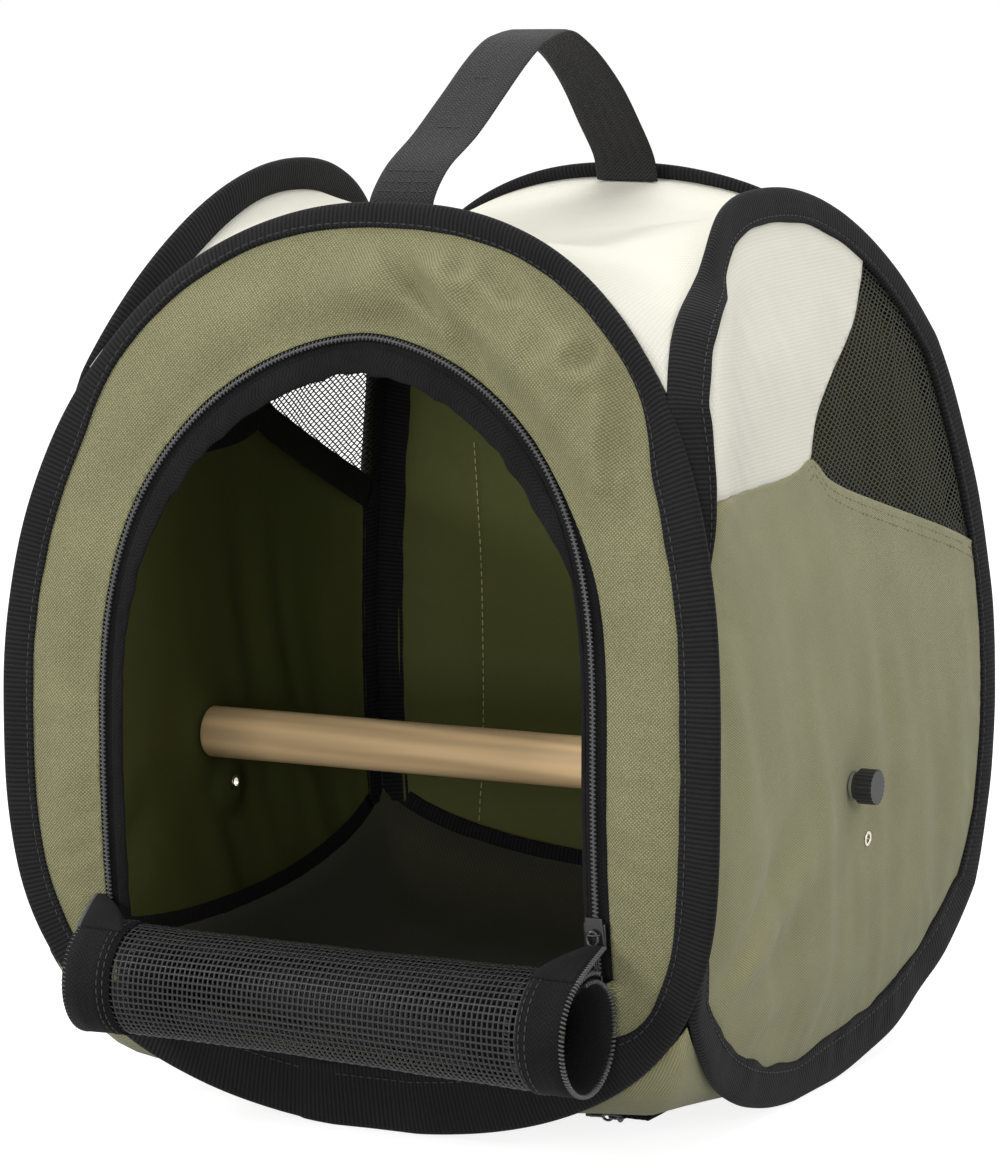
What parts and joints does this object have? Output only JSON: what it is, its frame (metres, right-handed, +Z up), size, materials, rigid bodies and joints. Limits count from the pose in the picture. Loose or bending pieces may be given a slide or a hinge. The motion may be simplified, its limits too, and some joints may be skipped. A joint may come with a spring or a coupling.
{
  "type": "bird travel carrier",
  "caption": "Pop-up fabric carrier for a small bird, with spring hoops, arched doorway, rolled mesh flap, mesh windows, wooden perch and webbing handle.",
  "frame": {"origin": "middle of the carrier's footprint box, on the surface it stands on", "axes": "+Z up, -Y out of the doorway with the rolled flap in front, +X to the right seen from behind"},
  "size_m": [0.28, 0.2922, 0.3728],
  "materials": {
    "spring_wire": "satin",
    "binding": "ribbed grosgrain",
    "olive_cloth": "woven twill",
    "lining": "woven twill",
    "cream_cloth": "woven plain",
    "mesh": "knitted mesh",
    "tape": "woven tape",
    "zip_coil": "satin",
    "slider_metal": "black lacquer",
    "board": "hardboard",
    "perch_wood": "sanded",
    "bolt_metal": "zinc plated",
    "knob_plastic": "knurled",
    "eyelet_metal": "plated",
    "webbing": "herringbone webbing"
  },
  "bodies": {
    "root": {"front_hoop_wire": "spring_wire", "rear_hoop_wire": "spring_wire", "left_hoop_wire": "spring_wire", "right_hoop_wire": "spring_wire", "front_binding": "binding", "rear_binding": "binding", "left_binding": "binding", "right_binding": "binding", "front_panel": "olive_cloth", "rear_panel": "olive_cloth", "left_lower_panel": "olive_cloth", "right_lower_panel": "olive_cloth", "left_upper_panel": "cream_cloth", "right_upper_panel": "cream_cloth", "left_mesh_window": "mesh", "right_mesh_window": "mesh", "left_hem_tape": "tape", "right_hem_tape": "tape", "top_panel": "cream_cloth", "bottom_cover": "olive_cloth", "floor_lining": "lining", "floor_board": "board", "floor_seam_tape": "tape", "floor_zip_tape": "tape", "floor_zip_coil": "zip_coil", "floor_zip_tabs": "tape", "door_zip_tape": "tape", "door_zip_coil": "zip_coil", "perch_eyelets": "eyelet_metal", "spare_eyelets": "eyelet_metal", "handle_tabs": "webbing"},
    "handle": {"handle_strap": "webbing"},
    "flap": {"flap_hem": "tape", "flap_mesh": "mesh", "flap_left_tape": "tape", "flap_right_tape": "tape", "flap_zip_coil": "zip_coil"},
    "door_slider": {"door_zip_slider": "slider_metal"},
    "door_pull": {"door_zip_pull": "slider_metal"},
    "floor_slider": {"floor_zip_slider": "slider_metal"},
    "floor_pull": {"floor_zip_pull": "slider_metal"},
    "perch": {"perch_dowel": "perch_wood", "perch_bolts": "bolt_metal"},
    "left_washer": {"left_washer": "bolt_metal"},
    "right_washer": {"right_washer": "bolt_metal"},
    "left_knob": {"left_knob": "knob_plastic"},
    "right_knob": {"right_knob": "knob_plastic"}
  },
  "joints": [
    {"name": "handle_swing", "type": "hinge", "parent": "root", "child": "handle", "pos_m": [0, 0.01456, 0.325], "axis": [0, 1, 0], "range_deg": [-48, 48]},
    {"name": "flap_lift", "type": "hinge", "parent": "root", "child": "flap", "pos_m": [0, -0.11207, 0.06], "axis": [-1, 0, 0], "range_deg": [0, 20]},
    {"name": "door_slider_travel", "type": "hinge", "parent": "root", "child": "door_slider", "pos_m": [0.092, 0.39256, 0.128], "axis": [-1, 0, 0], "range_deg": [0, 5.5]},
    {"name": "door_pull_swing", "type": "hinge", "parent": "door_slider", "child": "door_pull", "pos_m": [0.092, -0.11694, 0.08066], "axis": [-1, 0, 0], "range_deg": [0, 60]},
    {"name": "floor_slider_travel", "type": "slide", "parent": "root", "child": "floor_slider", "axis": [-1, 0, 0], "range_m": [0, 0.147]},
    {"name": "floor_pull_swing", "type": "hinge", "parent": "floor_slider", "child": "floor_pull", "pos_m": [0.0735, -0.05744, 0.0023], "axis": [0, -1, 0], "range_deg": [0, 80]},
    {"name": "perch_turn", "type": "hinge", "parent": "root", "child": "perch", "pos_m": [0, 0.01256, 0.112], "axis": [1, 0, 0], "continuous": true},
    {"name": "left_washer_slide", "type": "slide", "parent": "perch", "child": "left_washer", "axis": [-1, 0, 0], "range_m": [0, 0.002]},
    {"name": "left_knob_turn", "type": "hinge", "parent": "left_washer", "child": "left_knob", "pos_m": [-0.12975, 0.01256, 0.112], "axis": [-1, 0, 0], "range_deg": [0, 1441]},
    {"name": "right_washer_slide", "type": "slide", "parent": "perch", "child": "right_washer", "axis": [1, 0, 0], "range_m": [0, 0.002]},
    {"name": "right_knob_turn", "type": "hinge", "parent": "right_washer", "child": "right_knob", "pos_m": [0.12975, 0.01256, 0.112], "axis": [1, 0, 0], "range_deg": [0, 1441]}
  ],
  "couplings": [
    {"joint": "left_knob_turn", "follows": "left_washer_slide", "rad_per_m": 12566},
    {"joint": "right_knob_turn", "follows": "right_washer_slide", "rad_per_m": 12566}
  ]
}
